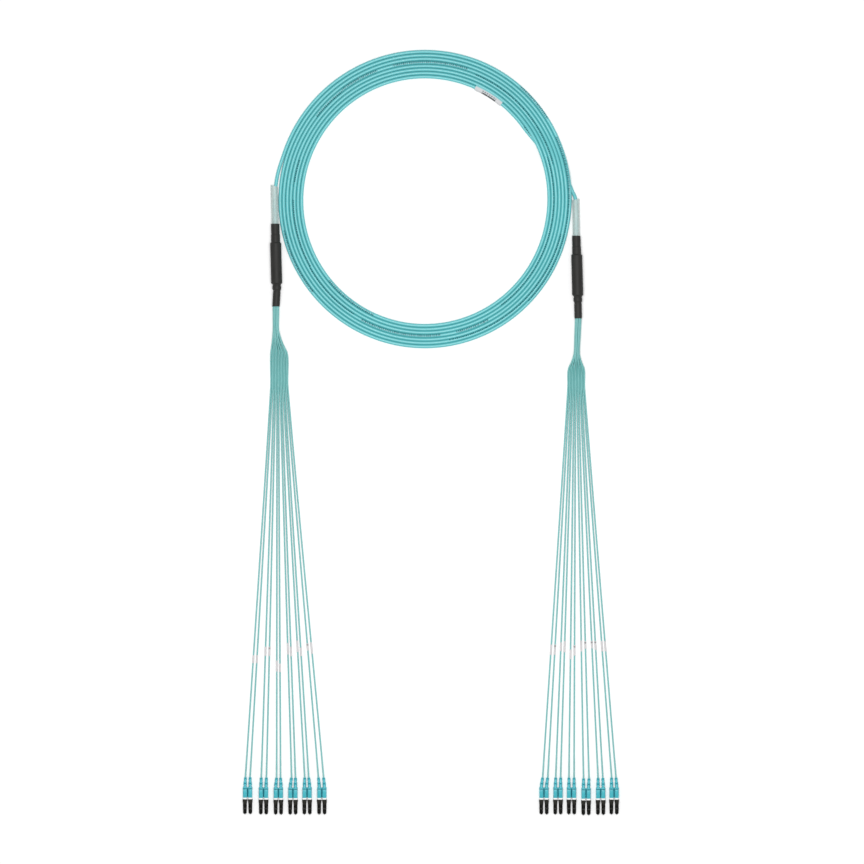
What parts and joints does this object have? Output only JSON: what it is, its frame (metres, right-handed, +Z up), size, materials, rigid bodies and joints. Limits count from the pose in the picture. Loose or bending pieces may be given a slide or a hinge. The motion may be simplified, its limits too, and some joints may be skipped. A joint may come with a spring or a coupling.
{
  "type": "fibre optic trunk cable",
  "caption": "Coiled round fibre optic trunk cable with a furcation body, a fan of thin legs, duplex connectors and pull-off dust caps at each end.",
  "frame": {"origin": "bottom centre of the box round the whole object, on the surface it lies on", "axes": "+Y from the connectors towards the coil, the longest side; +Z up, the shortest side; +X across, from the left end to the right end as seen from above"},
  "size_m": [0.4562, 0.9274, 0.0135],
  "materials": {
    "trunk_jacket": "satin aqua jacket",
    "leg_jacket": "satin aqua jacket",
    "connector_plastic": "moulded, semi-gloss",
    "nose_plastic": "moulded white",
    "ferrule_ceramic": "polished",
    "cap_rubber": "matt black",
    "black_shrink": "satin heat-shrink",
    "clear_film": "translucent film",
    "white_label": "matt"
  },
  "bodies": {
    "root": {"trunk_coil": "trunk_jacket", "trunk_run_left": "trunk_jacket", "trunk_run_right": "trunk_jacket", "cable_label": "white_label", "label_sleeve_left": "clear_film", "label_sleeve_right": "clear_film", "furcation_left": "black_shrink", "furcation_right": "black_shrink", "leg_left_01": "leg_jacket", "leg_left_02": "leg_jacket", "leg_left_03": "leg_jacket", "leg_left_04": "leg_jacket", "leg_left_05": "leg_jacket", "leg_left_06": "leg_jacket", "leg_left_07": "leg_jacket", "leg_left_08": "leg_jacket", "leg_left_09": "leg_jacket", "leg_left_10": "leg_jacket", "leg_left_11": "leg_jacket", "leg_left_12": "leg_jacket", "leg_right_01": "leg_jacket", "leg_right_02": "leg_jacket", "leg_right_03": "leg_jacket", "leg_right_04": "leg_jacket", "leg_right_05": "leg_jacket", "leg_right_06": "leg_jacket", "leg_right_07": "leg_jacket", "leg_right_08": "leg_jacket", "leg_right_09": "leg_jacket", "leg_right_10": "leg_jacket", "leg_right_11": "leg_jacket", "leg_right_12": "leg_jacket", "connector_left_1": "connector_plastic", "connector_left_2": "connector_plastic", "connector_left_3": "connector_plastic", "connector_left_4": "connector_plastic", "connector_left_5": "connector_plastic", "connector_left_6": "connector_plastic", "connector_right_1": "connector_plastic", "connector_right_2": "connector_plastic", "connector_right_3": "connector_plastic", "connector_right_4": "connector_plastic", "connector_right_5": "connector_plastic", "connector_right_6": "connector_plastic"},
    "dust_caps_left_1": {"dust_caps_left_1": "cap_rubber"},
    "dust_caps_left_2": {"dust_caps_left_2": "cap_rubber"},
    "dust_caps_left_3": {"dust_caps_left_3": "cap_rubber"},
    "dust_caps_left_4": {"dust_caps_left_4": "cap_rubber"},
    "dust_caps_left_5": {"dust_caps_left_5": "cap_rubber"},
    "dust_caps_left_6": {"dust_caps_left_6": "cap_rubber"},
    "dust_caps_right_1": {"dust_caps_right_1": "cap_rubber"},
    "dust_caps_right_2": {"dust_caps_right_2": "cap_rubber"},
    "dust_caps_right_3": {"dust_caps_right_3": "cap_rubber"},
    "dust_caps_right_4": {"dust_caps_right_4": "cap_rubber"},
    "dust_caps_right_5": {"dust_caps_right_5": "cap_rubber"},
    "dust_caps_right_6": {"dust_caps_right_6": "cap_rubber"}
  },
  "joints": [
    {"name": "dust_caps_left_1_pull", "type": "slide", "parent": "root", "child": "dust_caps_left_1", "axis": [0, -1, 0], "range_m": [0, 0.012]},
    {"name": "dust_caps_left_2_pull", "type": "slide", "parent": "root", "child": "dust_caps_left_2", "axis": [0, -1, 0], "range_m": [0, 0.012]},
    {"name": "dust_caps_left_3_pull", "type": "slide", "parent": "root", "child": "dust_caps_left_3", "axis": [0, -1, 0], "range_m": [0, 0.012]},
    {"name": "dust_caps_left_4_pull", "type": "slide", "parent": "root", "child": "dust_caps_left_4", "axis": [0, -1, 0], "range_m": [0, 0.012]},
    {"name": "dust_caps_left_5_pull", "type": "slide", "parent": "root", "child": "dust_caps_left_5", "axis": [0, -1, 0], "range_m": [0, 0.012]},
    {"name": "dust_caps_left_6_pull", "type": "slide", "parent": "root", "child": "dust_caps_left_6", "axis": [0, -1, 0], "range_m": [0, 0.012]},
    {"name": "dust_caps_right_1_pull", "type": "slide", "parent": "root", "child": "dust_caps_right_1", "axis": [0, -1, 0], "range_m": [0, 0.012]},
    {"name": "dust_caps_right_2_pull", "type": "slide", "parent": "root", "child": "dust_caps_right_2", "axis": [0, -1, 0], "range_m": [0, 0.012]},
    {"name": "dust_caps_right_3_pull", "type": "slide", "parent": "root", "child": "dust_caps_right_3", "axis": [0, -1, 0], "range_m": [0, 0.012]},
    {"name": "dust_caps_right_4_pull", "type": "slide", "parent": "root", "child": "dust_caps_right_4", "axis": [0, -1, 0], "range_m": [0, 0.012]},
    {"name": "dust_caps_right_5_pull", "type": "slide", "parent": "root", "child": "dust_caps_right_5", "axis": [0, -1, 0], "range_m": [0, 0.012]},
    {"name": "dust_caps_right_6_pull", "type": "slide", "parent": "root", "child": "dust_caps_right_6", "axis": [0, -1, 0], "range_m": [0, 0.012]}
  ]
}
